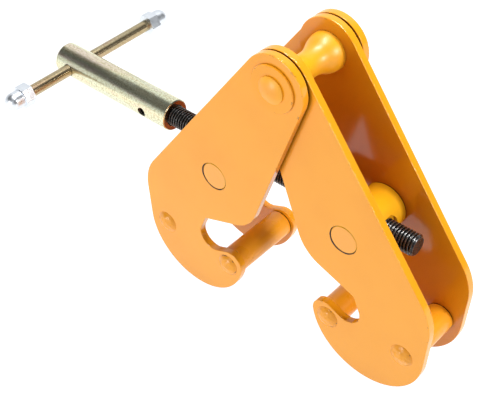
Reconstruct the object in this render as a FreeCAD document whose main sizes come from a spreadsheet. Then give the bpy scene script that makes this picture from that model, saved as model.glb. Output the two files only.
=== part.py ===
import FreeCAD, Part

import math
import os

import Sketcher
from FreeCAD import Placement, Rotation, Vector

# Beam clamp for a flange of about 90 to 225 mm. Two hooked jaws swing on a waisted load bar, and a
# screw with a left-hand and a right-hand thread draws their trunnion nuts together.
# Millimetres. X runs along the screw from the handle to the free end, Y along the load bar from
# the front to the rear, Z up. The origin is the middle of the load bar, on the axis of the jaws.
#
# A jaw's own axes: u is outward from the middle of its neck, y is up, and the load bar is at 0, 0.

DIMENSIONS = {
    # jaw opening: each jaw's neck leans this far from the vertical, in degrees
    "half_opening": 28.5,
    "trunnion_drop": 120.0,
    # plates, across the clamp
    "plate_thickness": 6.0,
    "outer_face": 35.5,
    "inner_face": 28.0,
    "plate_edge_round": 0.5,
    # plate outline: crown over the load bar, and the neck that widens down from it
    "crown_radius": 25.0,
    "outer_taper": 8.0,
    "inner_taper": 8.7,
    # plate outline: heel, flank, belly and nose of the hook
    "heel_radius": 46.0,
    "flank_lean": 32.0,
    "belly_radius": 49.6,
    "belly_inward": 15.0,
    "belly_drop": 199.0,
    "nose_radius": 11.2,
    "nose_drop": 187.0,
    # plate outline: throat that takes the edge of the flange
    "throat_radius": 12.3,
    "throat_inward": 26.6,
    "throat_drop": 180.7,
    "throat_wall_lean": 6.0,
    "lip_lean": 41.2,
    "lip_offset": 121.0,
    "lip_corner_radius": 2.5,
    "shoulder_radius": 33.0,
    # cross bars riveted between the plates
    "bar_radius": 11.3,
    "bar_edge": 0.8,
    "tip_bar_inward": 50.2,
    "tip_bar_drop": 190.8,
    "heel_bar_outward": 11.6,
    "heel_bar_drop": 216.4,
    "rivet_radius": 8.0,
    "rivet_head_radius": 9.4,
    "rivet_head_skirt": 0.2,
    "rivet_head_height": 3.4,
    "rivet_gap": 0.05,
    # load bar
    "waist_radius": 9.6,
    "waist_seat_radius": 24.0,
    "waist_half_length": 11.0,
    "shoulder_round": 27.0,
    "shoulder_station": 19.0,
    "shoulder_height": 14.9,
    "flare_radius": 15.2,
    "inner_journal_radius": 12.5,
    "outer_journal_radius": 10.0,
    "load_head_radius": 10.2,
    "load_head_skirt": 1.1,
    "load_head_height": 4.4,
    "load_rivet_radius": 8.0,
    "washer_radius": 18.0,
    "washer_thickness": 1.6,
    "washer_edge": 0.5,
    # trunnion nuts
    "trunnion_radius": 11.2,
    "barrel_radius": 18.0,
    "barrel_edge": 1.0,
    "trunnion_edge": 0.5,
    "barrel_end_gap": 0.2,
    "spot_face_radius": 10.8,
    "spot_face_depth": 2.6,
    # screw
    "thread_radius": 8.5,
    "thread_root_radius": 7.0,
    "thread_end_chamfer": 1.6,
    "plain_half_length": 9.0,
    "screw_start": 196.0,
    "screw_end": 100.0,
    # handle
    "tube_radius": 13.3,
    "tube_bore_radius": 8.6,
    "tube_start": 263.8,
    "tube_end": 132.2,
    "tube_outer_chamfer": 2.4,
    "tube_mouth_chamfer": 0.7,
    "tommy_station": 246.6,
    "tommy_radius": 5.0,
    "tommy_hole_gap": 0.4,
    "tommy_front": 55.6,
    "tommy_rear": 79.2,
    "tommy_thread_length": 12.0,
    "tommy_thread_chamfer": 1.0,
    "roll_pin_station": 157.8,
    "roll_pin_tilt": 7.0,
    "roll_pin_radius": 4.0,
    "roll_pin_wall": 1.0,
    "roll_pin_slit": 1.2,
    "roll_pin_recess": 1.5,
    # acorn nuts, 17 mm across flats
    "nut_flats": 17.0,
    "nut_hex_height": 9.5,
    "nut_dome_radius": 7.6,
    "nut_length": 23.4,
    "nut_bore_depth": 13.5,
    "nut_corner_radius": 9.3,
    "nut_corner_sphere": 13.0,
    # clearances
    "journal_gap": 0.08,
    "side_gap": 0.1,
    "thread_gap": 0.1,
    "small_gap": 0.05,
}

FRONT, REAR = -1, 1
OUTER, INNER = -1, 1
X_AXIS, Y_AXIS, Z_AXIS = Vector(1, 0, 0), Vector(0, 1, 0), Vector(0, 0, 1)

doc = FreeCAD.newDocument("BeamClamp")
sheet = doc.addObject("Spreadsheet::Sheet", "dims")
for row, (alias, number) in enumerate(DIMENSIONS.items(), start=1):
    sheet.set(f"A{row}", alias)
    sheet.set(f"B{row}", str(number))
    sheet.setAlias(f"B{row}", alias)
doc.recompute()

parts = []


def size(alias):
    """A driving dimension, as the sheet holds it."""
    return float(sheet.get(alias))


def bound(formula):
    """A formula in aliases, such as "outer_face - plate_thickness", with each alias read from the sheet."""
    words = formula.replace("(", "( ").replace(")", " )").split()
    return " ".join(f"dims.{word}" if word in DIMENSIONS else word for word in words)


def number(formula):
    """What a formula in aliases comes to now."""
    return float(sheet.evalExpression(bound(formula)))


def finish(item, label, place):
    """Names a sub-part and puts it in its place in the clamp."""
    item.Label = label
    item.Placement = place
    parts.append(item)


def new_body(name):
    return doc.addObject("PartDesign::Body", name)


def origin_feature(body, role):
    return next(item for item in body.Origin.OriginFeatures if item.Role == role)


def new_sketch(body, name, plane="XZ_Plane", tilt=0.0):
    """A sketch on one of the body's own planes, turned by tilt degrees about the plane's first axis."""
    sketch = body.newObject("Sketcher::SketchObject", name)
    sketch.AttachmentSupport = [(origin_feature(body, plane), "")]
    sketch.MapMode = "FlatFace"
    sketch.AttachmentOffset = Placement(Vector(), Rotation(X_AXIS, tilt))
    return sketch


def bind(sketch, constraint, formula):
    """Adds a dimension to a sketch and binds it to the sheet."""
    index = sketch.addConstraint(constraint)
    sketch.setExpression(f"Constraints[{index}]", bound(formula))


def hold_point(sketch, geometry, corner, across, up):
    """Holds a point of a sketch at the two formulas, measured from the sketch's origin."""
    for kind, axis, formula in (("DistanceX", -2, across), ("DistanceY", -1, up)):
        value = number(formula)
        if value == 0:
            sketch.addConstraint(Sketcher.Constraint("PointOnObject", geometry, corner, axis))
        elif value > 0:
            bind(sketch, Sketcher.Constraint(kind, -1, 1, geometry, corner, value), formula)
        else:
            held = Sketcher.Constraint(kind, geometry, corner, -1, 1, -value)
            bind(sketch, held, f"-1 * ({formula})")


def arc_between(start, end, radius):
    """The minor arc from start to end. A positive radius turns left on the way, a negative one right."""
    half = (end - start) * 0.5
    left = Vector(-half.y, half.x, 0).normalize()
    rise = math.sqrt(radius ** 2 - half.Length ** 2)
    centre = start + half + left * math.copysign(rise, radius)
    return arc_about(centre, start, end, turns_left=radius > 0)


def arc_about(centre, start, end, turns_left):
    circle = Part.Circle(centre, Z_AXIS, (start - centre).Length)
    first, last = (start, end) if turns_left else (end, start)
    angles = [math.atan2(point.y - centre.y, point.x - centre.x) for point in (first, last)]
    return Part.ArcOfCircle(circle, angles[0], angles[1])


def draw_profile(sketch, corners):
    """A closed outline whose corners are all held. Each corner is (across, up) or (across, up, radius):
    the radius makes the side that leaves it an arc."""
    points = [Vector(number(corner[0]), number(corner[1]), 0) for corner in corners]
    starts, ends = [], []
    for index, corner in enumerate(corners):
        start, end = points[index], points[(index + 1) % len(points)]
        if len(corner) == 2:
            side = sketch.addGeometry(Part.LineSegment(start, end), False)
            starts.append((side, 1))
            ends.append((side, 2))
        else:
            radius = number(corner[2])
            side = sketch.addGeometry(arc_between(start, end, radius), False)
            bind(sketch, Sketcher.Constraint("Radius", side, abs(radius)),
                 corner[2] if radius > 0 else f"-1 * ({corner[2]})")
            starts.append((side, 1 if radius > 0 else 2))
            ends.append((side, 2 if radius > 0 else 1))
    for index, corner in enumerate(corners):
        sketch.addConstraint(Sketcher.Constraint("Coincident", *ends[index - 1], *starts[index]))
        hold_point(sketch, *starts[index], corner[0], corner[1])


def turned(name, corners):
    """A body turned about its own X axis. Corners are (station along the axis, radius, arc radius)."""
    body = new_body(name)
    sketch = new_sketch(body, name + "Profile")
    draw_profile(sketch, corners)
    turn = body.newObject("PartDesign::Revolution", name + "Turn")
    turn.Profile = sketch
    turn.ReferenceAxis = (sketch, ["H_Axis"])
    turn.Angle = 360
    body.Tip = turn
    doc.recompute()
    return body


def drilled(body, name, station, radius, plane="XZ_Plane", tilt=0.0):
    """A round hole right through a body, at a station along the plane's first axis."""
    before = body.Shape.Volume
    sketch = new_sketch(body, name + "Circle", plane, tilt)
    centre = Vector(number(station), 0, 0)
    circle = sketch.addGeometry(Part.Circle(centre, Z_AXIS, number(radius)), False)
    hold_point(sketch, circle, 3, station, "0")
    bind(sketch, Sketcher.Constraint("Radius", circle, number(radius)), radius)
    hole = body.newObject("PartDesign::Pocket", name)
    hole.Profile = sketch
    hole.Type = "ThroughAll"
    hole.Midplane = True
    body.Tip = hole
    doc.recompute()
    if body.Shape.Volume >= before:
        raise RuntimeError(f"{name} cut nothing")


# ---------------------------------------------------------------- jaw plates


def polar(angle):
    """The unit vector at an angle in degrees, anticlockwise from u."""
    return Vector(math.cos(math.radians(angle)), math.sin(math.radians(angle)), 0)


def corner_of(point, direction, other_point, other_direction):
    """Where two straight lines cross."""
    across = other_direction.x * direction.y - other_direction.y * direction.x
    gap = other_point - point
    reach = (other_direction.x * gap.y - other_direction.y * gap.x) / across
    return point + direction * reach


def rounded(corner, arriving, leaving, radius):
    """Where a round of this radius starts and ends on the two sides of a corner, and its centre."""
    turn = arriving.getAngle(leaving)
    reach = radius * math.tan(turn / 2)
    start, end = corner - arriving * reach, corner + leaving * reach
    inward = (leaving - arriving).normalize()
    centre = corner + inward * (radius / math.cos(turn / 2))
    return start, end, centre


def plate_path():
    """The plate's outline as sides that run clockwise and tangent to one another. A side is
    (start, end) or (start, end, centre, turns_left)."""
    crown = size("crown_radius")
    crown_start = polar(180 - size("inner_taper")) * crown
    crown_end = polar(size("outer_taper")) * crown
    down_outer = polar(size("outer_taper") - 90)
    up_inner = polar(90 - size("inner_taper"))

    # the heel rounds the corner between the outer edge and a straight flank down to the belly
    belly = size("belly_radius")
    belly_centre = Vector(-size("belly_inward"), -size("belly_drop"), 0)
    down_flank = polar(-90 - size("flank_lean"))
    flank_end = belly_centre + polar(-size("flank_lean")) * belly
    heel_corner = corner_of(crown_end, down_outer, flank_end, down_flank)
    heel_round = rounded(heel_corner, down_outer, down_flank, size("heel_radius"))

    # the belly runs into the nose
    nose = size("nose_radius")
    nose_rise = size("belly_drop") - size("nose_drop")
    nose_reach = math.sqrt((belly - nose) ** 2 - nose_rise ** 2)
    nose_centre = belly_centre + Vector(-nose_reach, nose_rise, 0)
    nose_start = nose_centre + (nose_centre - belly_centre).normalize() * nose

    # a short ramp, tangent to both, runs from the nose down into the throat
    throat = size("throat_radius")
    throat_centre = Vector(-size("throat_inward"), -size("throat_drop"), 0)
    between = throat_centre - nose_centre
    lean = math.degrees(math.acos((nose + throat) / between.Length))
    bearing = math.degrees(math.atan2(between.y, between.x))
    ramp_normal = polar(bearing + lean)
    nose_end = nose_centre + ramp_normal * nose
    throat_start = throat_centre - ramp_normal * throat

    # the throat's wall rises to the lip, which slants away to the shoulder
    wall_up = polar(90 - size("throat_wall_lean"))
    throat_end = throat_centre + polar(-size("throat_wall_lean")) * throat
    lip_up = polar(90 + size("lip_lean"))
    lip_point = polar(180 + size("lip_lean")) * size("lip_offset")
    lip_corner = corner_of(throat_end, wall_up, lip_point, lip_up)
    shoulder = corner_of(lip_point, lip_up, crown_start, up_inner)
    lip_round = rounded(lip_corner, wall_up, lip_up, size("lip_corner_radius"))
    shoulder_round = rounded(shoulder, lip_up, up_inner, size("shoulder_radius"))

    return [
        (crown_start, crown_end, Vector(), False),
        (crown_end, heel_round[0]),
        (heel_round[0], heel_round[1], heel_round[2], False),
        (heel_round[1], flank_end),
        (flank_end, nose_start, belly_centre, False),
        (nose_start, nose_end, nose_centre, False),
        (nose_end, throat_start),
        (throat_start, throat_end, throat_centre, True),
        (throat_end, lip_round[0]),
        (lip_round[0], lip_round[1], lip_round[2], True),
        (lip_round[1], shoulder_round[0]),
        (shoulder_round[0], shoulder_round[1], shoulder_round[2], False),
        (shoulder_round[1], crown_start),
    ]


(CROWN, OUTER_EDGE, HEEL, FLANK, BELLY, NOSE, RAMP, THROAT, WALL, LIP_CORNER, LIP, SHOULDER,
 INNER_EDGE) = range(13)


def draw_plate(sketch, pivot_radius):
    """The plate's outline, tangent all the way round, and its four holes, bound to the sheet."""
    sides, starts, ends = [], [], []
    for start, end, *curve in plate_path():
        if curve:
            centre, turns_left = curve
            side = sketch.addGeometry(arc_about(centre, start, end, turns_left), False)
        else:
            turns_left = True
            side = sketch.addGeometry(Part.LineSegment(start, end), False)
        sides.append(side)
        starts.append(1 if turns_left else 2)
        ends.append(2 if turns_left else 1)
    for index in range(len(sides)):
        sketch.addConstraint(Sketcher.Constraint(
            "Tangent", sides[index - 1], ends[index - 1], sides[index], starts[index]))

    for side, alias in ((CROWN, "crown_radius"), (HEEL, "heel_radius"), (BELLY, "belly_radius"),
                        (NOSE, "nose_radius"), (THROAT, "throat_radius"),
                        (LIP_CORNER, "lip_corner_radius"), (SHOULDER, "shoulder_radius")):
        bind(sketch, Sketcher.Constraint("Radius", side, size(alias)), alias)
    sketch.addConstraint(Sketcher.Constraint("Coincident", CROWN, 3, -1, 1))
    hold_point(sketch, BELLY, 3, "-1 * belly_inward", "-1 * belly_drop")
    hold_point(sketch, THROAT, 3, "-1 * throat_inward", "-1 * throat_drop")
    bind(sketch, Sketcher.Constraint("DistanceY", NOSE, 3, -1, 1, size("nose_drop")), "nose_drop")

    # slants, each measured from the sketch's vertical axis
    for side, formula in ((OUTER_EDGE, "outer_taper - 90"), (INNER_EDGE, "90 - inner_taper"),
                          (FLANK, "-90 - flank_lean"), (WALL, "90 - throat_wall_lean"),
                          (LIP, "90 + lip_lean")):
        value = math.radians(number(formula))
        index = sketch.addConstraint(Sketcher.Constraint("Angle", side, value))
        sketch.setExpression(f"Constraints[{index}]", f"({bound(formula)}) * 1 deg")
    bind(sketch, Sketcher.Constraint("Distance", -1, 1, LIP, size("lip_offset")), "lip_offset")

    holes = (
        ("0", "0", pivot_radius),
        ("0", "-1 * trunnion_drop", "trunnion_radius + journal_gap"),
        ("-1 * tip_bar_inward", "-1 * tip_bar_drop", "rivet_radius + rivet_gap"),
        ("heel_bar_outward", "-1 * heel_bar_drop", "rivet_radius + rivet_gap"),
    )
    for across, up, radius in holes:
        centre = Vector(number(across), number(up), 0)
        circle = sketch.addGeometry(Part.Circle(centre, Z_AXIS, number(radius)), False)
        hold_point(sketch, circle, 3, across, up)
        bind(sketch, Sketcher.Constraint("Radius", circle, number(radius)), radius)


def jaw_rotation(jaw):
    """Turns a jaw's own axes to where they stand in the clamp."""
    lean = Rotation(Y_AXIS, -size("half_opening"))
    return lean if jaw == INNER else Rotation(Z_AXIS, 180) * lean


def place_on_jaw(jaw, outward, up):
    """A cross piece's place: its own X axis lies along Y, through a point of the jaw's own axes."""
    turn = jaw_rotation(jaw)
    return Placement(turn.multVec(Vector(outward, 0, up)), turn * Rotation(Z_AXIS, 90))


def plate(label, jaw, side, face, pivot_radius):
    """One jaw plate, with rounded outer edges and a small chamfer round the trunnion hole."""
    body = new_body(label)
    sketch = new_sketch(body, label + "_outline")
    draw_plate(sketch, pivot_radius)
    pad = body.newObject("PartDesign::Pad", label + "_pad")
    pad.Profile = sketch
    pad.Midplane = True
    pad.setExpression("Length", bound("plate_thickness"))
    body.Tip = pad
    doc.recompute()

    def is_circle(edge):
        return isinstance(edge.Curve, Part.Circle) and edge.isClosed()

    def on_a_face(edge):
        return edge.BoundBox.YLength < 1e-6

    outline = [f"Edge{n}" for n, edge in enumerate(pad.Shape.Edges, start=1)
               if on_a_face(edge) and not is_circle(edge)]
    edge_round = body.newObject("PartDesign::Fillet", label + "_edges")
    edge_round.Base = (pad, outline)
    edge_round.setExpression("Radius", bound("plate_edge_round"))
    body.Tip = edge_round
    doc.recompute()

    trunnion = [f"Edge{n}" for n, edge in enumerate(edge_round.Shape.Edges, start=1)
                if is_circle(edge) and abs(edge.Curve.Center.z + size("trunnion_drop")) < 1e-6]
    chamfer = body.newObject("PartDesign::Chamfer", label + "_trunnion_chamfer")
    chamfer.Base = (edge_round, trunnion)
    chamfer.setExpression("Size", bound("trunnion_edge"))
    body.Tip = chamfer
    doc.recompute()
    middle = side * (number(face) - size("plate_thickness") / 2)
    finish(body, label, Placement(Vector(0, middle, 0), jaw_rotation(jaw)))


# ---------------------------------------------------------------- turned pieces


def mirrored(half):
    """A turned outline from one end to the other, from the half on the positive side. The half runs
    from the middle outward, and an arc's radius belongs to the side that leaves its corner."""
    back = []
    for index in range(len(half) - 1, -1, -1):
        arc = half[index - 1][2:] if index else ()
        back.append((f"-1 * ({half[index][0]})", half[index][1], *arc))
    return back[:-1] + half if half[0][0] == "0" else back + half


def rivet_end(face, tenon, head, skirt, height):
    """A tenon through a plate, closed over its face by a low domed head."""
    rise = f"( {height} - {skirt} )"
    return [
        (face, tenon),
        (face, head),
        (f"{face} + {skirt}", head, f"( {head} ^ 2 + {rise} ^ 2 ) / ( -2 * {rise} )"),
        (f"{face} + {height}", "0"),
    ]


def cross_bar(label, jaw, outward, up, face):
    """A round bar between a jaw's two plates, riveted over their outer faces."""
    inside = f"{face} - plate_thickness"
    half = [
        (f"{inside} - bar_edge", "bar_radius"),
        (inside, "bar_radius - bar_edge"),
        (inside, "rivet_radius"),
    ] + rivet_end(face, "rivet_radius", "rivet_head_radius", "rivet_head_skirt", "rivet_head_height")
    body = turned(label, mirrored(half))
    finish(body, label, place_on_jaw(jaw, number(outward), number(up)))


def load_bar():
    """The bar that both jaws swing on: an hourglass between the inner plates, a large journal in
    them, a smaller one in the outer plates, and a head riveted over a washer at each end."""
    seat = "( waist_radius + waist_seat_radius - sqrt( waist_seat_radius ^ 2 - waist_half_length ^ 2 ) )"
    flare_end = "( inner_face - plate_thickness - side_gap )"
    step = "( outer_face - plate_thickness - side_gap )"
    journal_end = "( outer_face + side_gap )"
    half = [
        ("waist_half_length", seat, "-1 * shoulder_round"),
        ("shoulder_station", "shoulder_height"),
        (flare_end, "flare_radius"),
        (flare_end, "inner_journal_radius"),
        (step, "inner_journal_radius"),
        (step, "outer_journal_radius"),
        (journal_end, "outer_journal_radius"),
        (journal_end, "load_rivet_radius"),
    ] + rivet_end(f"( {journal_end} + washer_thickness )", "load_rivet_radius", "load_head_radius",
                  "load_head_skirt", "load_head_height")
    corners = mirrored(half)
    waist_start = len(half) - 1
    corners[waist_start] = (*corners[waist_start][:2], "waist_seat_radius")
    finish(turned("load_bar", corners), "load_bar", Placement(Vector(), Rotation(Z_AXIS, 90)))


def washer(label, side):
    """The washer under a head of the load bar, with its outer edge rounded off."""
    inside = "( outer_face + side_gap )"
    outside = f"{inside} + washer_thickness"
    body = turned(label, [
        (inside, "load_rivet_radius + rivet_gap"),
        (inside, "washer_radius"),
        (f"{outside} - washer_edge", "washer_radius"),
        (outside, "washer_radius - washer_edge"),
        (outside, "load_rivet_radius + rivet_gap"),
    ])
    finish(body, label, Placement(Vector(), Rotation(Z_AXIS, 90 * side)))


def spot_faced(body, name, side):
    """A flat, square to the screw, round one mouth of a barrel's thread."""
    before = body.Shape.Volume
    sketch = new_sketch(body, name + "Circle")
    sketch.setExpression("AttachmentOffset.Base.z", bound(f"{side} * ( barrel_radius - spot_face_depth )"))
    circle = sketch.addGeometry(Part.Circle(Vector(), Z_AXIS, size("spot_face_radius")), False)
    hold_point(sketch, circle, 3, "0", "0")
    bind(sketch, Sketcher.Constraint("Radius", circle, size("spot_face_radius")), "spot_face_radius")
    seat = body.newObject("PartDesign::Pocket", name)
    seat.Profile = sketch
    seat.Type = "ThroughAll"
    seat.Reversed = side == REAR
    body.Tip = seat
    doc.recompute()
    cut_away = before - body.Shape.Volume
    if not 0 < cut_away < math.pi * size("spot_face_radius") ** 2 * size("spot_face_depth"):
        raise RuntimeError(f"{name} cut {cut_away:.0f} mm3")


def trunnion_nut(label, jaw, face):
    """A barrel between a jaw's plates with a journal in each, and a thread for the screw across it."""
    inside = f"( {face} - plate_thickness - barrel_end_gap )"
    half = [
        (f"{inside} - barrel_edge", "barrel_radius"),
        (inside, "barrel_radius - barrel_edge"),
        (inside, "trunnion_radius"),
        (f"{face} - trunnion_edge", "trunnion_radius"),
        (face, "trunnion_radius - trunnion_edge"),
        (face, "0"),
    ]
    body = turned(label, mirrored(half))
    drilled(body, label + "_thread", "0", "thread_radius + thread_gap")
    for side in (FRONT, REAR):
        spot_faced(body, f"{label}_seat_{'near' if side == FRONT else 'far'}", side)
    turn = jaw_rotation(jaw)
    centre = turn.multVec(Vector(0, 0, -size("trunnion_drop")))
    finish(body, label, Placement(centre, Rotation(Z_AXIS, 90)))


# ---------------------------------------------------------------- screw and handle


def screw_place():
    drop = size("trunnion_drop") * math.cos(math.radians(size("half_opening")))
    return Placement(Vector(0, 0, -drop), Rotation())


def screw():
    """A left-hand thread towards the handle and a right-hand one towards the free end, drawn at
    their outside diameter, with a plain neck between them. The handle's tube takes the first end."""
    body = turned("screw", [
        ("-1 * screw_start", "0"),
        ("-1 * screw_start", "thread_radius - thread_end_chamfer"),
        ("-1 * screw_start + thread_end_chamfer", "thread_radius"),
        ("-1 * plain_half_length - 1.5", "thread_radius"),
        ("-1 * plain_half_length", "thread_root_radius"),
        ("plain_half_length", "thread_root_radius"),
        ("plain_half_length + 1.5", "thread_radius"),
        ("screw_end - thread_end_chamfer", "thread_radius"),
        ("screw_end", "thread_radius - thread_end_chamfer"),
        ("screw_end", "0"),
    ])
    drilled(body, "screw_pin_hole", "-1 * roll_pin_station", "roll_pin_radius + small_gap",
            tilt=size("roll_pin_tilt"))
    finish(body, "screw", screw_place())


def handle_tube():
    """A plain tube with a chamfered outer end, a hole for the tommy bar and one for the roll pin."""
    body = turned("handle_tube", [
        ("-1 * tube_start", "tube_bore_radius"),
        ("-1 * tube_start", "tube_radius - tube_outer_chamfer + 0.4"),
        ("-1 * tube_start + tube_outer_chamfer", "tube_radius"),
        ("-1 * tube_end - tube_mouth_chamfer", "tube_radius"),
        ("-1 * tube_end", "tube_radius - tube_mouth_chamfer"),
        ("-1 * tube_end", "tube_bore_radius + tube_mouth_chamfer"),
        ("-1 * tube_end - tube_mouth_chamfer", "tube_bore_radius"),
    ])
    drilled(body, "handle_tube_tommy_hole", "-1 * tommy_station", "tommy_radius + tommy_hole_gap")
    drilled(body, "handle_tube_pin_hole", "-1 * roll_pin_station", "roll_pin_radius + small_gap",
            tilt=size("roll_pin_tilt"))
    finish(body, "handle_tube", screw_place())


def roll_pin():
    """A sprung steel pin, rolled with a slit along it, through the tube and the screw in it."""
    length = "2 * ( tube_radius - roll_pin_recess )"
    shell = cylinder("roll_pin_outside", "roll_pin_radius", length)
    bore = cylinder("roll_pin_bore", "roll_pin_radius - roll_pin_wall", length)
    slit = doc.addObject("Part::Box", "roll_pin_slit")
    slit.setExpression("Length", bound("roll_pin_radius * 2"))
    slit.setExpression("Width", bound("roll_pin_slit"))
    slit.setExpression("Height", bound(length))
    slit.setExpression("Placement.Base.y", bound("roll_pin_slit / -2"))
    hollow = fused("roll_pin_hollow", [bore, slit])
    pin = cut("roll_pin", shell, hollow)
    # its own Z axis turns to the rear and up, and its middle comes onto the screw's axis
    turn = Rotation(X_AXIS, -90 + size("roll_pin_tilt"))
    middle = screw_place().Base - X_AXIS * size("roll_pin_station")
    start = middle - turn.multVec(Z_AXIS) * (number(length) / 2)
    finish(pin, "roll_pin", Placement(start, turn))


def tommy_bar():
    """The bar that turns the screw, free to slide in the tube, threaded at both ends."""
    near, far = "-1 * tommy_front - tommy_thread_length", "tommy_rear + tommy_thread_length"
    body = turned("tommy_bar", [
        (near, "0"),
        (near, "tommy_radius - tommy_thread_chamfer"),
        (f"{near} + tommy_thread_chamfer", "tommy_radius"),
        (f"{far} - tommy_thread_chamfer", "tommy_radius"),
        (far, "tommy_radius - tommy_thread_chamfer"),
        (far, "0"),
    ])
    middle = screw_place().Base - X_AXIS * size("tommy_station")
    finish(body, "tommy_bar", Placement(middle, Rotation(Z_AXIS, 90)))


def cylinder(name, radius, height, base="0"):
    item = doc.addObject("Part::Cylinder", name)
    item.setExpression("Radius", bound(radius))
    item.setExpression("Height", bound(height))
    item.setExpression("Placement.Base.z", bound(base))
    return item


def fused(name, pieces):
    item = doc.addObject("Part::MultiFuse", name)
    item.Shapes = pieces
    return item


def cut(name, base, tool):
    item = doc.addObject("Part::Cut", name)
    item.Base = base
    item.Tool = tool
    return item


def acorn_nut(label, side):
    """A hexagon with turned corners and a tall dome over it. Its own Z axis runs from the face that
    meets the bar to the top of the dome."""
    hexagon = doc.addObject("Part::Prism", label + "_hexagon")
    hexagon.Polygon = 6
    hexagon.setExpression("Circumradius", bound("nut_flats / sqrt( 3 )"))
    hexagon.setExpression("Height", bound("nut_hex_height"))
    corners = doc.addObject("Part::Sphere", label + "_corners")
    corners.setExpression("Radius", bound("nut_corner_sphere"))
    corners.setExpression(
        "Placement.Base.z",
        bound("nut_hex_height - sqrt( nut_corner_sphere ^ 2 - nut_corner_radius ^ 2 ) + 0.6"))
    blank = doc.addObject("Part::MultiCommon", label + "_blank")
    blank.Shapes = [hexagon, corners]
    neck = cylinder(label + "_neck", "nut_dome_radius", "nut_length - nut_dome_radius")
    dome = doc.addObject("Part::Sphere", label + "_dome")
    dome.setExpression("Radius", bound("nut_dome_radius"))
    dome.setExpression("Placement.Base.z", bound("nut_length - nut_dome_radius"))
    solid = fused(label + "_solid", [blank, neck, dome])
    bore = cylinder(label + "_bore", "tommy_radius + small_gap", "nut_bore_depth")
    nut = cut(label, solid, bore)
    reach = size("tommy_front") if side == FRONT else size("tommy_rear")
    seat = screw_place().Base + Vector(-size("tommy_station"), side * reach, 0)
    finish(nut, label, Placement(seat, Rotation(X_AXIS, -90 * side)))


# ---------------------------------------------------------------- the clamp

OUTER_PIVOT = "outer_journal_radius + journal_gap"
INNER_PIVOT = "inner_journal_radius + journal_gap"

load_bar()
for end, side in (("front", FRONT), ("rear", REAR)):
    washer(f"load_bar_washer_{end}", side)
    plate(f"outer_jaw_plate_{end}", OUTER, side, "outer_face", OUTER_PIVOT)
    plate(f"inner_jaw_plate_{end}", INNER, side, "inner_face", INNER_PIVOT)
for name, jaw, face in (("outer", OUTER, "outer_face"), ("inner", INNER, "inner_face")):
    cross_bar(f"{name}_jaw_tip_bar", jaw, "-1 * tip_bar_inward", "-1 * tip_bar_drop", face)
    cross_bar(f"{name}_jaw_heel_bar", jaw, "heel_bar_outward", "-1 * heel_bar_drop", face)
    trunnion_nut(f"{name}_trunnion_nut", jaw, face)
screw()
handle_tube()
roll_pin()
tommy_bar()
acorn_nut("acorn_nut_front", FRONT)
acorn_nut("acorn_nut_rear", REAR)
doc.recompute()

for item in doc.Objects:
    if "Invalid" in item.State or "Error" in item.State:
        raise RuntimeError(f"{item.Name} failed: {item.State}")
os.makedirs("parts", exist_ok=True)
for item in parts:
    shape = item.Shape
    if shape.isNull() or not shape.isValid() or len(shape.Solids) != 1:
        raise RuntimeError(f"{item.Label} is not one valid solid")
    shape.exportStep(f"parts/{item.Label}.step")
    print(f"{item.Label}: {shape.Volume / 1000:.2f} cm3")
print(f"steel mass {sum(item.Shape.Volume for item in parts) * 7.85e-6:.2f} kg")
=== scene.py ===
import math

import bmesh
import bpy
from mathutils import Matrix, Vector


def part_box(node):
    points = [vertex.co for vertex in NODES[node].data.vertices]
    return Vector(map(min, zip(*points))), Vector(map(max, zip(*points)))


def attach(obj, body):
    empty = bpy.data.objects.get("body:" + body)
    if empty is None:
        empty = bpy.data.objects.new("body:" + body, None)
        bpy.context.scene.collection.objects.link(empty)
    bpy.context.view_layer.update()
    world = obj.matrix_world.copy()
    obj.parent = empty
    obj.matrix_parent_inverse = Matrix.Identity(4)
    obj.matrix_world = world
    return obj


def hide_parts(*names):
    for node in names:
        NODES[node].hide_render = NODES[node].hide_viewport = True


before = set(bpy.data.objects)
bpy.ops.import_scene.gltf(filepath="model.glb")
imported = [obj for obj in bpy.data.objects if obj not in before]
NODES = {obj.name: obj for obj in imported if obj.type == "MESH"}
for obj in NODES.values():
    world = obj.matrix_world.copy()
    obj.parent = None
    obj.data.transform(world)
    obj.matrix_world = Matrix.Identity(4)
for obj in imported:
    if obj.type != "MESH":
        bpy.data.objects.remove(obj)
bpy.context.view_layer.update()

# Looks for a beam clamp: painted jaws and pins, a blackened double-threaded screw, and a T-handle in
# yellow and bright zinc. Metres, in the CAD's frame.

MM = 0.001


# ---------------------------------------------------------------- material helpers


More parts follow.
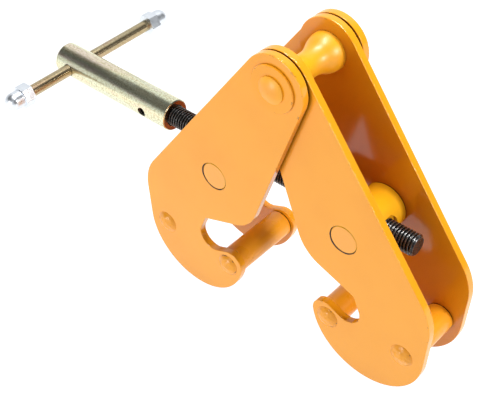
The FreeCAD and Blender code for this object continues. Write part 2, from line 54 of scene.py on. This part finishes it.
class Shader:
    """A new material's node tree, with short ways to add and link nodes."""

    def __init__(self, name):
        self.material = bpy.data.materials.new(name)
        self.material.use_nodes = True
        self.tree = self.material.node_tree
        self.surface = self.tree.nodes["Principled BSDF"]

    def node(self, kind, **settings):
        """Adds a node. A setting names a property of the node, or an input socket."""
        made = self.tree.nodes.new(kind)
        for key, value in settings.items():
            if hasattr(made, key):
                setattr(made, key, value)
            else:
                made.inputs[key.replace("_", " ")].default_value = value
        return made

    def link(self, source, target):
        self.tree.links.new(source, target)

    def fixed(self, **values):
        """Sets sockets of the surface that are the same all over."""
        for key, value in values.items():
            self.surface.inputs[key.replace("_", " ")].default_value = value

    def position(self, scale=(1, 1, 1)):
        """Object coordinates in metres, stretched."""
        coordinates = self.node("ShaderNodeTexCoord")
        mapping = self.node("ShaderNodeMapping", Scale=scale)
        self.link(coordinates.outputs["Object"], mapping.inputs["Vector"])
        return mapping.outputs["Vector"]

    def noise(self, vector, scale, detail=4.0, roughness=0.5):
        made = self.node("ShaderNodeTexNoise", Scale=scale, Detail=detail, Roughness=roughness)
        self.link(vector, made.inputs["Vector"])
        return made.outputs["Fac"]

    def ramp(self, value, stops):
        """A colour ramp. Each stop is (position, grey level or colour)."""
        made = self.node("ShaderNodeValToRGB")
        band = made.color_ramp
        while len(band.elements) < len(stops):
            band.elements.new(0.5)
        for element, (position, level) in zip(band.elements, stops):
            element.position = position
            element.color = (*level, 1) if isinstance(level, tuple) else (level, level, level, 1)
        self.link(value, made.inputs["Fac"])
        return made.outputs["Color"]

    def between(self, value, low, high):
        """Spreads a value from 0 to 1 over low to high."""
        made = self.node("ShaderNodeMapRange")
        made.inputs["To Min"].default_value = low
        made.inputs["To Max"].default_value = high
        self.link(value, made.inputs["Value"])
        return made.outputs["Result"]

    def blend(self, factor, first, second, mode="MIX"):
        made = self.node("ShaderNodeMix", data_type="RGBA", blend_type=mode)
        for value, socket in ((factor, 0), (first, 6), (second, 7)):
            if isinstance(value, bpy.types.NodeSocket):
                self.link(value, made.inputs[socket])
            elif isinstance(value, tuple):
                made.inputs[socket].default_value = (*value, 1)
            else:
                made.inputs[socket].default_value = value
        return made.outputs[2]

    def maths(self, operation, first, second):
        made = self.node("ShaderNodeMath", operation=operation)
        for value, socket in ((first, 0), (second, 1)):
            if isinstance(value, bpy.types.NodeSocket):
                self.link(value, made.inputs[socket])
            else:
                made.inputs[socket].default_value = value
        return made.outputs[0]

    def edges(self, radius):
        """About 1 on a sharp convex edge and 0 on a flat face."""
        rounded = self.node("ShaderNodeBevel", samples=4)
        rounded.inputs["Radius"].default_value = radius
        true = self.node("ShaderNodeNewGeometry")
        angle = self.node("ShaderNodeVectorMath", operation="DOT_PRODUCT")
        self.link(rounded.outputs["Normal"], angle.inputs[0])
        self.link(true.outputs["Normal"], angle.inputs[1])
        return self.maths("SUBTRACT", 1.0, angle.outputs["Value"])

    def crevices(self, reach, stops):
        """High in a gap narrower than the reach and 0 in the open. The stops say how open is open."""
        shade = self.node("ShaderNodeAmbientOcclusion", samples=8)
        shade.inputs["Distance"].default_value = reach
        return self.ramp(shade.outputs["AO"], stops)

    def end_faces(self, axis):
        """1 on faces square to the axis and 0 on those along it."""
        parts = self.node("ShaderNodeSeparateXYZ")
        self.link(self.node("ShaderNodeTexCoord").outputs["Normal"], parts.inputs[0])
        return self.ramp(self.maths("ABSOLUTE", parts.outputs[axis], 0.0), ((0.80, 0.0), (0.95, 1.0)))

    def bump(self, height, distance, strength=1.0, under=None):
        made = self.node("ShaderNodeBump", Strength=strength, Distance=distance)
        self.link(height, made.inputs["Height"])
        if under:
            self.link(under, made.inputs["Normal"])
        return made.outputs["Normal"]

    def drive(self, **sockets):
        """Links outputs to sockets of the surface."""
        for key, source in sockets.items():
            self.link(source, self.surface.inputs[key.replace("_", " ")])


# ---------------------------------------------------------------- materials

ENAMEL = (0.84, 0.330, 0.010)
ENAMEL_LIGHT = (0.86, 0.345, 0.012)
ENAMEL_DEEP = (0.82, 0.312, 0.008)
ENAMEL_SHADED = (0.46, 0.110, 0.003)
ENAMEL_DUST = (0.98, 0.60, 0.20)
ENAMEL_SPOT = (0.55, 0.19, 0.01)
CHIP_RIM = (0.16, 0.055, 0.012)
CHIP_CORE = (0.035, 0.024, 0.018)
# dark red-black for the painted shade in narrow gaps, and for the grease and painted shadow at the
# trunnion journals
SHADE_AND_GREASE = (0.028, 0.009, 0.004)
FILM_FINE = (0.94, 0.92, 0.78)
FILM_MOTTLE = (0.47, 0.36, 0.18)
FILM_END_SHADE = (0.42, 0.20, 0.10)
OXIDE_WORN_AND_GLINT = (0.36, 0.36, 0.35)

# how finely each noise is grained, in cells per metre
GRAIN = {
    "tone": 22.0, "dust": 1100.0, "chips": 190.0, "smear": 90.0, "peel": 420.0, "dents": 230.0,
    "sheen": 70.0, "gloss tone": 34.0, "gloss spots": 900.0, "gloss peel": 260.0, "gloss sheen": 90.0,
    "drawn along": 34.0, "drawn across": 2600.0, "drift along": 11.0, "drift across": 80.0,
    "mottle": 620.0, "stain": 180.0, "oxide": 260.0, "floor": 3.0,
}

# how high each bump stands
PEEL_HEIGHT = 0.06 * MM
DENT_HEIGHT = 2.2 * MM
GLOSS_PEEL_HEIGHT = 0.10 * MM
DRAWN_HEIGHT = 0.06 * MM
STAIN_HEIGHT = 0.05 * MM
OXIDE_HEIGHT = 0.04 * MM

CHIP_REACH = 2.4 * MM           # how far from an edge the paint may be chipped
PAINT_CREVICE = 4.0 * MM
FILM_CREVICE = 3.0 * MM
PAINTED_SHADE_REACH = 75.0 * MM      # reach of the painted shade between plates: more than the space between a jaw's two plates
WORN_AND_GLINT_REACH = 0.4 * MM
SMEAR_WIDTH = 0.6 * MM
JOURNAL_RADIUS = 11.25 * MM
JOURNAL_OFFSET = 0.28 * MM


def journal_distance(shader, place):
    """How far a point is from the edge of the nearer trunnion journal, seen along Y, as if the journal
    stood a little low and to the handle's side in its hole."""
    parts = shader.node("ShaderNodeSeparateXYZ")
    shader.link(place, parts.inputs[0])
    gaps = []
    for nut in ("outer_trunnion_nut", "inner_trunnion_nut"):
        low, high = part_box(nut)
        across = shader.maths("SUBTRACT", parts.outputs["X"], (low.x + high.x) / 2 - JOURNAL_OFFSET)
        up = shader.maths("SUBTRACT", parts.outputs["Z"], (low.z + high.z) / 2 - JOURNAL_OFFSET)
        squares = shader.maths("ADD", shader.maths("MULTIPLY", across, across),
                               shader.maths("MULTIPLY", up, up))
        gap = shader.maths("SUBTRACT", shader.maths("SQRT", squares, 0.0), JOURNAL_RADIUS)
        gaps.append(shader.maths("ABSOLUTE", gap, 0.0))
    return shader.maths("MINIMUM", gaps[0], gaps[1])


def paint(name, plate, peening, smooth):
    """Orange-yellow enamel over steel: slight orange peel, slow changes of tone and small chips on the
    edges. In every narrow gap the base colour is darkened: painted shade. On a plate, the base colour
    is also darkened where two plates face each other, which puts shade into the material to match the
    photo's, and there is a dark line where a trunnion journal meets its plate, partly grease and partly
    painted shadow in the joint. On a riveted bar, peening is the strength of the hammer's dents in its
    heads. Smooth is the lowest roughness."""
    shader = Shader(name)
    place = shader.position()
    tone = shader.noise(place, GRAIN["tone"], detail=4.0)
    colour = shader.ramp(tone, ((0.25, ENAMEL_DEEP), (0.5, ENAMEL), (0.75, ENAMEL_LIGHT)))
    dust = shader.ramp(shader.noise(place, GRAIN["dust"], detail=2.0), ((0.66, 0.0), (0.80, 0.10)))
    colour = shader.blend(dust, colour, ENAMEL_DUST)
    if plate:
        # painted shade: the base colour is darkened where two plates face each other
        painted_shade_between_plates = shader.crevices(PAINTED_SHADE_REACH, ((0.30, 0.68), (0.75, 0.0)))
        colour = shader.blend(painted_shade_between_plates, colour, ENAMEL_SHADED)
    chips = shader.noise(place, GRAIN["chips"], detail=6.0, roughness=0.65)
    weak = shader.maths("MULTIPLY", shader.edges(CHIP_REACH),
                        shader.ramp(chips, ((0.60, 0.0), (0.66, 1.0))))
    chipped = shader.ramp(weak, ((0.04, 0.0), (0.09, 1.0)))
    bare = shader.ramp(chips, ((0.6, CHIP_RIM), (0.75, CHIP_CORE)))
    colour = shader.blend(chipped, colour, bare)
    # painted shade: the base colour goes dark in narrow gaps, as between the crowns and round washers and
    # heads
    colour = shader.blend(shader.crevices(PAINT_CREVICE, ((0.20, 1.0), (0.48, 0.0))), colour, SHADE_AND_GREASE)
    if plate:
        # dark line round each trunnion journal: partly grease and partly painted shadow in the joint
        spread = shader.ramp(shader.noise(place, GRAIN["smear"], detail=2.0), ((0.36, 0.1), (0.60, 1.0)))
        smear = shader.maths("MULTIPLY", spread, SMEAR_WIDTH)
        line = shader.maths("SUBTRACT", journal_distance(shader, place), smear)
        journal_grease_and_shade = shader.ramp(shader.maths("MULTIPLY", line, 1 / MM), ((0.10, 1.0), (0.40, 0.0)))
        colour = shader.blend(journal_grease_and_shade, colour, SHADE_AND_GREASE)
    shader.drive(Base_Color=colour)
    peel = shader.noise(place, GRAIN["peel"], detail=2.0, roughness=0.4)
    normal = shader.bump(peel, PEEL_HEIGHT, 0.30)
    if peening:
        dents = shader.noise(place, GRAIN["dents"], detail=1.0)
        dents = shader.maths("MULTIPLY", dents, shader.end_faces("Y"))
        normal = shader.bump(dents, DENT_HEIGHT, peening, normal)
    rough = shader.between(shader.noise(place, GRAIN["sheen"], detail=3.0), smooth, smooth + 0.08)
    if plate:
        rough = shader.maths("MAXIMUM", rough, shader.maths("MULTIPLY", journal_grease_and_shade, 0.85))
        shader.fixed(Coat_Weight=0.15, Coat_Roughness=0.05)
    shader.drive(Roughness=rough, Normal=normal)
    shader.fixed(IOR=1.5)
    return shader.material


def gloss_paint(name, deep, light, smooth, coat):
    """The same enamel on turned pieces, with a yellower base colour than on the plates: painted light, a
    lit copy of the enamel for these brightly lit glossy pieces. It varies from deep to light, with small
    spots, and its end faces are as on the plates."""
    shader = Shader(name)
    place = shader.position()
    tone = shader.noise(place, GRAIN["gloss tone"], detail=3.0)
    colour = shader.ramp(tone, ((0.3, deep), (0.7, light)))
    spots = shader.ramp(shader.noise(place, GRAIN["gloss spots"], detail=2.0), ((0.68, 0.0), (0.80, 0.3)))
    colour = shader.blend(spots, colour, ENAMEL_SPOT)
    colour = shader.blend(shader.end_faces("Y"), colour, ENAMEL)
    shader.drive(Base_Color=colour)
    peel = shader.noise(place, GRAIN["gloss peel"], detail=2.0, roughness=0.4)
    rough = shader.between(shader.noise(place, GRAIN["gloss sheen"], detail=3.0), smooth, smooth + 0.12)
    shader.drive(Roughness=rough, Normal=shader.bump(peel, GLOSS_PEEL_HEIGHT, 0.35))
    shader.fixed(IOR=1.52, Coat_Weight=coat, Coat_Roughness=smooth / 2)
    return shader.material


def yellow_zinc(name, along, tint):
    """Drawn steel in yellow zinc: fine lines along the piece and fine mottling, with a gold film that
    drifts towards green and pink. The end faces are a dark brown, painted shade tinted by light off the
    orange jaws, and narrow gaps are darkened: painted shade."""
    shader = Shader(name)

    def streaks(grain, detail):
        """Noise that is longer along the piece than across it."""
        scale = [GRAIN[grain + " along"] if axis == along else GRAIN[grain + " across"] for axis in "XYZ"]
        return shader.noise(shader.position(scale), 1.0, detail=detail, roughness=0.6)

    fine, broad = streaks("drawn", 4.0), streaks("drift", 3.0)
    film = shader.ramp(broad, ((0.30, (0.90, 0.74, 0.62)), (0.42, (0.88, 0.81, 0.52)),
                               (0.54, (0.80, 0.86, 0.62)), (0.66, (0.92, 0.78, 0.68))))
    film = shader.blend(shader.between(fine, 0.0, 0.50), film, FILM_FINE)
    mottle = shader.noise(shader.position(), GRAIN["mottle"], detail=4.0, roughness=0.65)
    film = shader.blend(shader.ramp(mottle, ((0.46, 0.0), (0.60, 0.46))), film, FILM_MOTTLE)
    film = shader.blend(1.0, film, tint, mode="MULTIPLY")
    # painted shade: the end faces are a dark brown, as if lit only by light off the orange jaws
    film = shader.blend(shader.end_faces(along), film, FILM_END_SHADE)
    # painted shade: the film goes dark in narrow gaps, as round the tommy bar's hole
    film = shader.blend(shader.crevices(FILM_CREVICE, ((0.20, 1.0), (0.50, 0.0))), film, SHADE_AND_GREASE)
    shader.drive(Base_Color=film)
    lines = shader.bump(fine, DRAWN_HEIGHT, 0.6)
    shader.drive(Roughness=shader.between(fine, 0.16, 0.32),
                 Normal=shader.bump(mottle, DRAWN_HEIGHT, 0.5, lines))
    shader.fixed(Metallic=1.0, Anisotropic=0.4)
    return shader.material


def bright_zinc():
    """Bright, slightly blue zinc with faint stains."""
    shader = Shader("bright_zinc")
    place = shader.position()
    stain = shader.noise(place, GRAIN["stain"], detail=5.0, roughness=0.6)
    colour = shader.ramp(stain, ((0.3, (0.76, 0.81, 0.87)), (0.7, (0.88, 0.92, 0.97))))
    shader.drive(Base_Color=colour, Roughness=shader.between(stain, 0.24, 0.42))
    shader.drive(Normal=shader.bump(stain, STAIN_HEIGHT, 0.3))
    shader.fixed(Metallic=1.0)
    return shader.material


def black_oxide():
    """Blackened steel, a little oily, lighter on sharp crests: partly wear and partly a painted highlight
    along the thread crests.
    """
    shader = Shader("black_oxide")
    place = shader.position()
    patch = shader.noise(place, GRAIN["oxide"], detail=6.0, roughness=0.6)
    colour = shader.ramp(patch, ((0.35, (0.008, 0.008, 0.009)), (0.75, (0.030, 0.029, 0.028))))
    # lighter sharp crests: partly wear and partly a painted highlight
    worn_and_glint = shader.ramp(shader.edges(WORN_AND_GLINT_REACH), ((0.02, 0.0), (0.10, 0.9)))
    colour = shader.blend(worn_and_glint, colour, OXIDE_WORN_AND_GLINT)
    shader.drive(Base_Color=colour, Roughness=shader.between(patch, 0.20, 0.36))
    shader.drive(Normal=shader.bump(patch, OXIDE_HEIGHT, 0.4))
    shader.fixed(Metallic=0.7, Coat_Weight=0.3, Coat_Roughness=0.12)
    return shader.material


PLATE_PAINT = paint("orange_enamel_plates", plate=True, peening=0.0, smooth=0.09)
PAINT = paint("orange_enamel", plate=False, peening=0.0, smooth=0.16)
BAR_PAINT = paint("orange_enamel_riveted", plate=False, peening=0.8, smooth=0.24)
# painted light: the nuts and the load bar get a yellower, lit copy of the plates' enamel
NUT_GLOSS = gloss_paint("orange_enamel_nuts", deep=(0.82, 0.37, 0.008), light=(0.86, 0.42, 0.010),
                        smooth=0.14, coat=0.5)
BAR_GLOSS = gloss_paint("orange_enamel_load_bar", deep=(0.84, 0.36, 0.004), light=(0.88, 0.40, 0.006),
                        smooth=0.36, coat=0.12)
ZINC_TUBE = yellow_zinc("yellow_zinc_tube", along="X", tint=(1.0, 1.0, 0.98))
ZINC_BAR = yellow_zinc("yellow_zinc_bar", along="Y", tint=(0.60, 0.50, 0.42))
BRIGHT = bright_zinc()
BLACK = black_oxide()

FINISH = {
    "load_bar": BAR_GLOSS, "outer_trunnion_nut": NUT_GLOSS, "inner_trunnion_nut": NUT_GLOSS,
    "handle_tube": ZINC_TUBE, "tommy_bar": ZINC_BAR, "acorn_nut_front": BRIGHT,
    "acorn_nut_rear": BRIGHT, "roll_pin": BLACK, "screw": BLACK,
}
for name, node in NODES.items():
    if name.endswith(("tip_bar", "heel_bar")):
        finish = BAR_PAINT
    else:
        finish = FINISH.get(name, PLATE_PAINT if "_plate_" in name else PAINT)
    node.data.materials.clear()
    node.data.materials.append(finish)


# ---------------------------------------------------------------- screw with its threads

PITCH = 2.5 * MM
CREST, ROOT = 8.5 * MM, 7.0 * MM
END_CHAMFER = 1.6 * MM
END_RADIUS = CREST - END_CHAMFER
NECK_HALF = 9.0 * MM
SIDES = 64
WELD = 0.004 * MM
SLIVER = 0.002 * MM
SHARP_ANGLE = math.radians(35)
# one turn's profile: (share of the pitch, radius)
PROFILE = ((0.0, ROOT), (0.12, ROOT), (0.44, CREST), (0.56, CREST), (0.88, ROOT))


def screw_mesh():
    """The screw in its real form: a left-hand thread towards the handle, a right-hand one towards
    the free end, and the neck and end chamfers of the CAD's plain one."""
    low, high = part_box("screw")
    axis_z = (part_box("handle_tube")[0].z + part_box("handle_tube")[1].z) / 2
    mesh = bmesh.new()

    def ring(station, radius):
        return [mesh.verts.new((station, radius * math.cos(math.tau * n / SIDES),
                                axis_z + radius * math.sin(math.tau * n / SIDES)))
                for n in range(SIDES)]

    def thread(start, end, hand, first_radius, last_radius):
        """A helical thread of the given hand, that ends in a 45-degree chamfer at each end."""
        rows = []
        for turn in range(-1, math.ceil((end - start) / PITCH) + 1):
            for share, radius in PROFILE:
                row = []
                for n in range(SIDES + 1):
                    station = start + (turn + share + hand * n / SIDES + (hand < 0)) * PITCH
                    held = min(max(station, start), end)
                    reach = min(radius, first_radius + held - start, last_radius + end - held)
                    if held != station:
                        reach = min(ROOT, reach)
                    angle = math.tau * n / SIDES
                    row.append(mesh.verts.new((held, reach * math.cos(angle),
                                               axis_z + reach * math.sin(angle))))
                rows.append(row)
        for first, second in zip(rows, rows[1:]):
            for n in range(SIDES):
                mesh.faces.new((first[n], first[n + 1], second[n + 1], second[n]))

    thread(low.x, -NECK_HALF, -1, END_RADIUS, ROOT)
    thread(NECK_HALF, high.x, 1, ROOT, END_RADIUS)
    first, second = ring(-NECK_HALF, ROOT), ring(NECK_HALF, ROOT)
    for n in range(SIDES):
        mesh.faces.new((first[n], first[(n + 1) % SIDES], second[(n + 1) % SIDES], second[n]))
    mesh.faces.new(ring(low.x, END_RADIUS)[::-1])
    mesh.faces.new(ring(high.x, END_RADIUS))
    bmesh.ops.remove_doubles(mesh, verts=mesh.verts, dist=WELD)
    bmesh.ops.dissolve_degenerate(mesh, dist=SLIVER, edges=mesh.edges)
    bmesh.ops.recalc_face_normals(mesh, faces=mesh.faces)
    data = bpy.data.meshes.new("screw_threaded")
    mesh.to_mesh(data)
    mesh.free()
    piece = bpy.data.objects.new("screw_threaded", data)
    bpy.context.scene.collection.objects.link(piece)
    data.polygons.foreach_set("use_smooth", [True] * len(data.polygons))
    data.set_sharp_from_angle(angle=SHARP_ANGLE)
    data.materials.append(BLACK)
    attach(piece, "screw")
    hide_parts("screw")


screw_mesh()


# ---------------------------------------------------------------- floor, light and camera

FLOOR_HALF = 6.0
FLOOR_GLOW = 0.98
ROOM = 0.75
ROOM_COLOUR = (0.98, 0.99, 1.0, 1)
# (direction, cosines where the change starts and ends, level that it reaches)
PATCHES = (
    ((-0.25, -0.35, 0.90), 0.64, 0.80, 0.10),    # dark, overhead
    ((0.94, 0.30, 0.10), 0.30, 0.70, 0.10),      # dark, at the right
    ((-0.45, 0.75, 0.45), 0.70, 0.90, 1.25),     # bright, at the back
)
# (name, place, size, power in watts)
LAMPS = (
    ("overhead", (-0.15, 0.12, 1.15), (0.15, 0.6), 16),
    ("right", (1.1, 0.25, 0.45), (0.2, 0.5), 10),
    ("front", (-0.30, -1.35, 0.10), (0.40, 0.50), 7.5),
)
LAMP_TARGET = Vector((0, 0, -0.1))

CAMERA_PLACE = (0.35215, -0.45083, 0.38691)
CAMERA_AZIMUTH, CAMERA_ELEVATION, CAMERA_ROLL = (math.radians(angle) for angle in (42.715, 41.602, -1.656))
CAMERA_LENS, CAMERA_SENSOR = 76.84, 36.0


def floor():
    """A plain pale floor, low enough for the jaws to swing over it about the load bar."""
    reach = max(math.hypot(vertex.co.x, vertex.co.z) for name, node in NODES.items()
                if "_jaw_plate_" in name for vertex in node.data.vertices)
    data = bpy.data.meshes.new("floor")
    corners = [(x * FLOOR_HALF, y * FLOOR_HALF, -reach) for x, y in ((-1, -1), (1, -1), (1, 1), (-1, 1))]
    data.from_pydata(corners, [], [(0, 1, 2, 3)])
    shader = Shader("floor")
    tone = shader.noise(shader.position(), GRAIN["floor"], detail=2.0)
    shader.drive(Base_Color=shader.ramp(tone, ((0.3, 0.14), (0.7, 0.16))))
    shader.fixed(Roughness=0.8, Emission_Color=(1, 1, 1, 1), Emission_Strength=FLOOR_GLOW)
    data.materials.append(shader.material)
    piece = bpy.data.objects.new("floor", data)
    bpy.context.scene.collection.objects.link(piece)


def softbox(name, place, size, power):
    light = bpy.data.lights.new(name, "AREA")
    light.shape = "RECTANGLE"
    light.size, light.size_y = size
    light.energy = power
    lamp = bpy.data.objects.new(name, light)
    lamp.location = place
    lamp.visible_camera = False
    lamp.rotation_euler = (LAMP_TARGET - Vector(place)).to_track_quat("-Z", "Y").to_euler()
    bpy.context.scene.collection.objects.link(lamp)


def studio():
    """Softboxes in a bright room with darker and brighter patches. The object reflects the patches,
    and the camera sees a plain pale background in their place."""
    world = bpy.data.worlds.new("studio")
    world.use_nodes = True
    nodes, links = world.node_tree.nodes, world.node_tree.links
    direction = nodes.new("ShaderNodeTexCoord").outputs["Generated"]

    def patch(aim, start, end, level):
        """1 away from the aim, and this level near it."""
        towards = nodes.new("ShaderNodeVectorMath")
        towards.operation = "DOT_PRODUCT"
        towards.inputs[1].default_value = Vector(aim).normalized()
        links.new(direction, towards.inputs[0])
        change = nodes.new("ShaderNodeMapRange")
        change.interpolation_type = "SMOOTHSTEP"
        for key, value in (("From Min", start), ("From Max", end), ("To Min", 1.0), ("To Max", level)):
            change.inputs[key].default_value = value
        links.new(towards.outputs["Value"], change.inputs["Value"])
        return change.outputs["Result"]

    def product(first, second):
        made = nodes.new("ShaderNodeMath")
        made.operation = "MULTIPLY"
        links.new(first, made.inputs[0])
        links.new(second, made.inputs[1])
        return made.outputs[0]

    level = nodes.new("ShaderNodeValue").outputs[0]
    level.default_value = ROOM
    for settings in PATCHES:
        level = product(level, patch(*settings))
    seen = nodes.new("ShaderNodeMapRange")
    seen.inputs["To Max"].default_value = 1.0
    links.new(nodes.new("ShaderNodeLightPath").outputs["Is Camera Ray"], seen.inputs["Value"])
    links.new(level, seen.inputs["To Min"])
    background = nodes["Background"]
    background.inputs["Color"].default_value = ROOM_COLOUR
    links.new(seen.outputs["Result"], background.inputs["Strength"])
    bpy.context.scene.world = world
    bpy.context.scene.view_settings.view_transform = "Standard"
    for lamp in LAMPS:
        softbox(*lamp)


def camera():
    """A camera at the photograph's viewing angle, which turns about its own axis by the roll."""
    level = math.cos(CAMERA_ELEVATION)
    back = Vector((math.sin(CAMERA_AZIMUTH) * level, -math.cos(CAMERA_AZIMUTH) * level,
                   math.sin(CAMERA_ELEVATION)))
    across = Vector((math.cos(CAMERA_AZIMUTH), math.sin(CAMERA_AZIMUTH), 0))
    up = back.cross(across)
    right = across * math.cos(CAMERA_ROLL) + up * math.sin(CAMERA_ROLL)
    top = up * math.cos(CAMERA_ROLL) - across * math.sin(CAMERA_ROLL)
    turn = Matrix((right, top, back)).transposed().to_4x4()
    data = bpy.data.cameras.new("camera")
    data.lens = CAMERA_LENS
    data.sensor_width = CAMERA_SENSOR
    data.clip_start = 10 * MM
    view = bpy.data.objects.new("camera", data)
    view.matrix_world = Matrix.Translation(CAMERA_PLACE) @ turn
    bpy.context.scene.collection.objects.link(view)
    bpy.context.scene.camera = view


floor()
studio()
camera()
